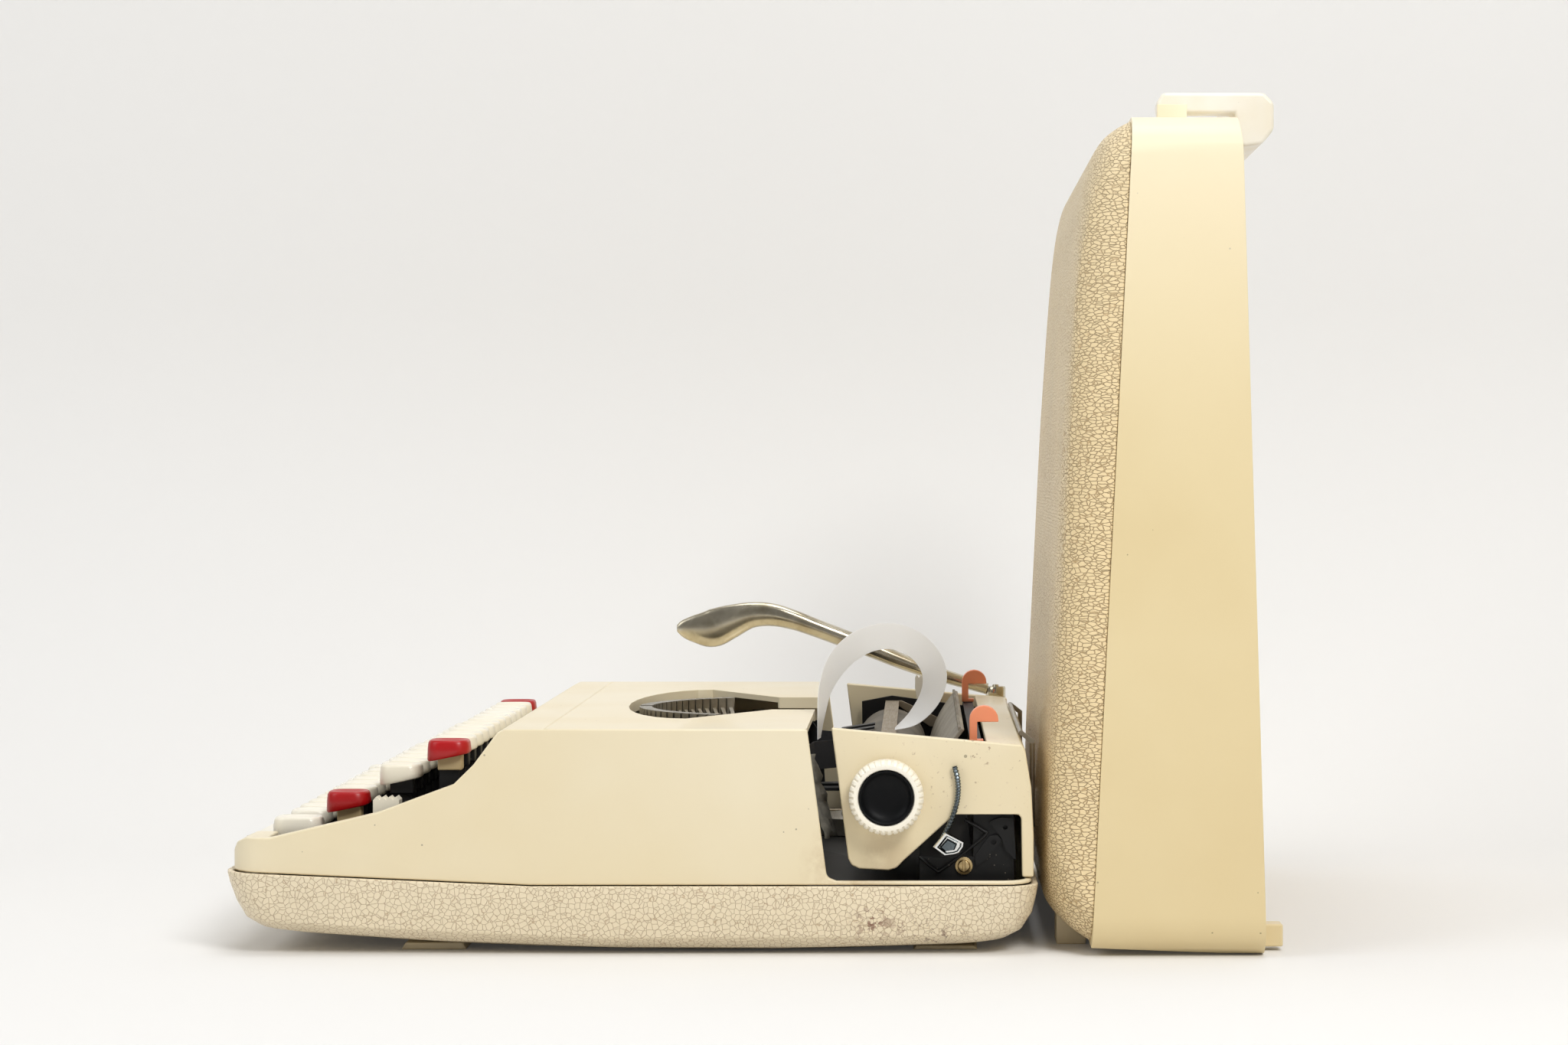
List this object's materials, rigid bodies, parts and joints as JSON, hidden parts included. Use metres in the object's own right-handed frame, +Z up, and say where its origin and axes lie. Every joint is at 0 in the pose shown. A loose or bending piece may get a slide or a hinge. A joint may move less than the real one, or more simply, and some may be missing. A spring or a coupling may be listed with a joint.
{
  "type": "portable typewriter",
  "caption": "Portable typewriter with a sliding carriage, keys on levers and a type basket; its case lid stands on edge behind it.",
  "frame": {"origin": "bottom centre of the bounding box of the typewriter and its lid, on the surface that both stand on", "axes": "+Z up, +X to the typist's right, +Y from the keyboard towards the lid"},
  "size_m": [0.31, 0.408, 0.337],
  "materials": {
    "cream": "glossy moulded plastic, yellowed",
    "lid_cream": "glossy moulded plastic, yellowed",
    "grained": "leather-grained moulded plastic",
    "white": "glossy, ivory white",
    "red": "glossy",
    "black": "satin black enamel",
    "dark_plastic": "satin",
    "steel": "plain steel",
    "chrome": "bright, knurled",
    "alloy": "polished",
    "rubber": "aged grey-brown",
    "salmon": "satin",
    "paper": "plain",
    "ribbon": "inked",
    "brass": "dull"
  },
  "bodies": {
    "base": {"base_tray": "grained", "foot_front_right": "white", "foot_front_left": "white", "foot_rear_right": "white", "foot_rear_left": "white", "body_housing": "cream", "chassis": "black", "rear_frame": "black", "frame_screw": "brass", "mainspring_drum": "steel", "fulcrum_bar": "steel", "type_segment": "steel", "typebar_fan": "steel", "ribbon_guide": "black", "ink_ribbon": "ribbon"},
    "ribbon_cover": {"ribbon_cover": "cream"},
    "spool_right": {"ribbon_spool_right": "steel"},
    "spool_left": {"ribbon_spool_left": "steel"},
    "row_1": {"key_row_1": "white"},
    "row_2": {"key_row_2": "white"},
    "row_3": {"key_row_3": "white"},
    "row_4": {"key_row_4": "white"},
    "space_bar": {"space_bar": "white"},
    "shift": {"shift_key_right": "white", "shift_key_left": "white", "shift_shaft": "steel"},
    "shift_lock": {"shift_lock_key": "white"},
    "tabulator": {"tabulator_key": "red"},
    "margin_release": {"margin_release_key": "red"},
    "backspace": {"backspace_key": "red"},
    "typebar": {"typebar": "steel"},
    "ribbon_selector": {"ribbon_selector": "white"},
    "carriage": {"carriage_frame": "black", "end_cover_right": "cream", "end_cover_left": "cream", "rear_cover": "cream", "paper_table": "rubber", "margin_rail": "black", "lever_bracket": "cream"},
    "platen": {"platen": "rubber", "platen_ratchet": "steel", "platen_knob_right": "white", "platen_knob_left": "white", "knob_cap_right": "dark_plastic", "knob_cap_left": "dark_plastic"},
    "return_lever": {"return_lever": "alloy"},
    "paper_bail": {"paper_bail": "steel", "paper_strip": "paper"},
    "margin_stop_right": {"margin_stop_right": "salmon"},
    "margin_stop_left": {"margin_stop_left": "salmon"},
    "carriage_release": {"carriage_release": "chrome"},
    "paper_release": {"paper_release": "white"},
    "paper_support": {"paper_support": "steel"},
    "lid": {"lid_rim": "lid_cream", "lid_shell": "grained", "lid_foot_right": "white", "lid_foot_left": "white", "lid_tab_right": "lid_cream", "lid_tab_left": "lid_cream"},
    "lid_handle": {"lid_handle": "white"}
  },
  "joints": [
    {"name": "cover_hinge", "type": "hinge", "parent": "base", "child": "ribbon_cover", "pos_m": [0, 0.0155, 0.0848], "axis": [-1, 0, 0], "range_deg": [0, 60]},
    {"name": "spool_right_turn", "type": "hinge", "parent": "base", "child": "spool_right", "pos_m": [0.106, -0.012, 0.066], "axis": [0, 0, 1], "continuous": true},
    {"name": "spool_left_turn", "type": "hinge", "parent": "base", "child": "spool_left", "pos_m": [-0.106, -0.012, 0.066], "axis": [0, 0, 1], "continuous": true},
    {"name": "row_1_press", "type": "hinge", "parent": "base", "child": "row_1", "pos_m": [0, -0.072, 0.0382], "axis": [1, 0, 0], "range_deg": [0, 2.3], "stiffness_Nm_per_rad": 1.2, "springref_deg": -8.59},
    {"name": "row_2_press", "type": "hinge", "parent": "base", "child": "row_2", "pos_m": [0, -0.072, 0.0382], "axis": [1, 0, 0], "range_deg": [0, 2.6], "stiffness_Nm_per_rad": 1.2, "springref_deg": -8.59},
    {"name": "row_3_press", "type": "hinge", "parent": "base", "child": "row_3", "pos_m": [0, -0.072, 0.0382], "axis": [1, 0, 0], "range_deg": [0, 3.1], "stiffness_Nm_per_rad": 1.2, "springref_deg": -8.59},
    {"name": "row_4_press", "type": "hinge", "parent": "base", "child": "row_4", "pos_m": [0, -0.072, 0.0382], "axis": [1, 0, 0], "range_deg": [0, 3.9], "stiffness_Nm_per_rad": 1.2, "springref_deg": -8.59},
    {"name": "space_bar_press", "type": "hinge", "parent": "base", "child": "space_bar", "pos_m": [0, -0.072, 0.0382], "axis": [1, 0, 0], "range_deg": [0, 1.4], "stiffness_Nm_per_rad": 0.8, "springref_deg": -8.59},
    {"name": "shift_press", "type": "hinge", "parent": "base", "child": "shift", "pos_m": [0, -0.079, 0.03], "axis": [1, 0, 0], "range_deg": [0, 2.2], "stiffness_Nm_per_rad": 0.8, "springref_deg": -8.59},
    {"name": "shift_lock_press", "type": "hinge", "parent": "base", "child": "shift_lock", "pos_m": [-0.1116, -0.072, 0.0382], "axis": [1, 0, 0], "range_deg": [0, 2.6], "stiffness_Nm_per_rad": 0.2, "springref_deg": -8.59},
    {"name": "tabulator_press", "type": "hinge", "parent": "base", "child": "tabulator", "pos_m": [0.1164, -0.072, 0.0382], "axis": [1, 0, 0], "range_deg": [0, 2.6], "stiffness_Nm_per_rad": 0.2, "springref_deg": -8.59},
    {"name": "margin_release_press", "type": "hinge", "parent": "base", "child": "margin_release", "pos_m": [-0.1069, -0.072, 0.0382], "axis": [1, 0, 0], "range_deg": [0, 3.9], "stiffness_Nm_per_rad": 0.2, "springref_deg": -8.59},
    {"name": "backspace_press", "type": "hinge", "parent": "base", "child": "backspace", "pos_m": [0.1211, -0.072, 0.0382], "axis": [1, 0, 0], "range_deg": [0, 3.9], "stiffness_Nm_per_rad": 0.2, "springref_deg": -8.59},
    {"name": "typebar_strike", "type": "hinge", "parent": "base", "child": "typebar", "pos_m": [0, -0.016, 0.044], "axis": [-1, 0, 0], "range_deg": [0, 92]},
    {"name": "ribbon_selector_turn", "type": "hinge", "parent": "base", "child": "ribbon_selector", "pos_m": [0.134, -0.1435, 0.04], "axis": [1, 0, 0], "range_deg": [-6, 6]},
    {"name": "carriage_slide", "type": "slide", "parent": "base", "child": "carriage", "axis": [-1, 0, 0], "range_m": [-0.1, 0.1]},
    {"name": "platen_turn", "type": "hinge", "parent": "carriage", "child": "platen", "pos_m": [0, 0.048, 0.0603], "axis": [1, 0, 0], "continuous": true},
    {"name": "return_lever_swing", "type": "hinge", "parent": "carriage", "child": "return_lever", "pos_m": [-0.1496, 0.0961, 0.082], "axis": [0, 0, -1], "range_deg": [-16, 0], "stiffness_Nm_per_rad": 0.1, "springref_deg": 17.19},
    {"name": "paper_bail_lift", "type": "hinge", "parent": "carriage", "child": "paper_bail", "pos_m": [0, 0.06738, 0.06882], "axis": [-1, 0, 0], "range_deg": [0, 30]},
    {"name": "margin_stop_right_slide", "type": "slide", "parent": "carriage", "child": "margin_stop_right", "axis": [1, 0, 0], "range_m": [-0.1, 0]},
    {"name": "margin_stop_left_slide", "type": "slide", "parent": "carriage", "child": "margin_stop_left", "axis": [-1, 0, 0], "range_m": [-0.1, 0]},
    {"name": "carriage_release_turn", "type": "hinge", "parent": "carriage", "child": "carriage_release", "pos_m": [0.143, 0.074, 0.07], "axis": [1, 0, 0], "range_deg": [-3, 0], "stiffness_Nm_per_rad": 0.02, "springref_deg": 11.46},
    {"name": "paper_release_turn", "type": "hinge", "parent": "carriage", "child": "paper_release", "pos_m": [-0.1313, 0.063, 0.073], "axis": [1, 0, 0], "range_deg": [-8, 8]},
    {"name": "paper_support_slide", "type": "slide", "parent": "carriage", "child": "paper_support", "axis": [0, 0, 1], "range_m": [0, 0.04]},
    {"name": "lid_lift", "type": "slide", "parent": "base", "child": "lid", "axis": [0, 0, 1], "range_m": [0, 0.14]},
    {"name": "lid_handle_turn", "type": "hinge", "parent": "lid", "child": "lid_handle", "pos_m": [0, 0.1575, 0.3295], "axis": [1, 0, 0], "range_deg": [0, 20]}
  ],
  "couplings": [
    {"joint": "spool_left_turn", "follows": "spool_right_turn", "ratio": 1},
    {"joint": "typebar_strike", "follows": "row_2_press", "ratio": 35}
  ]
}
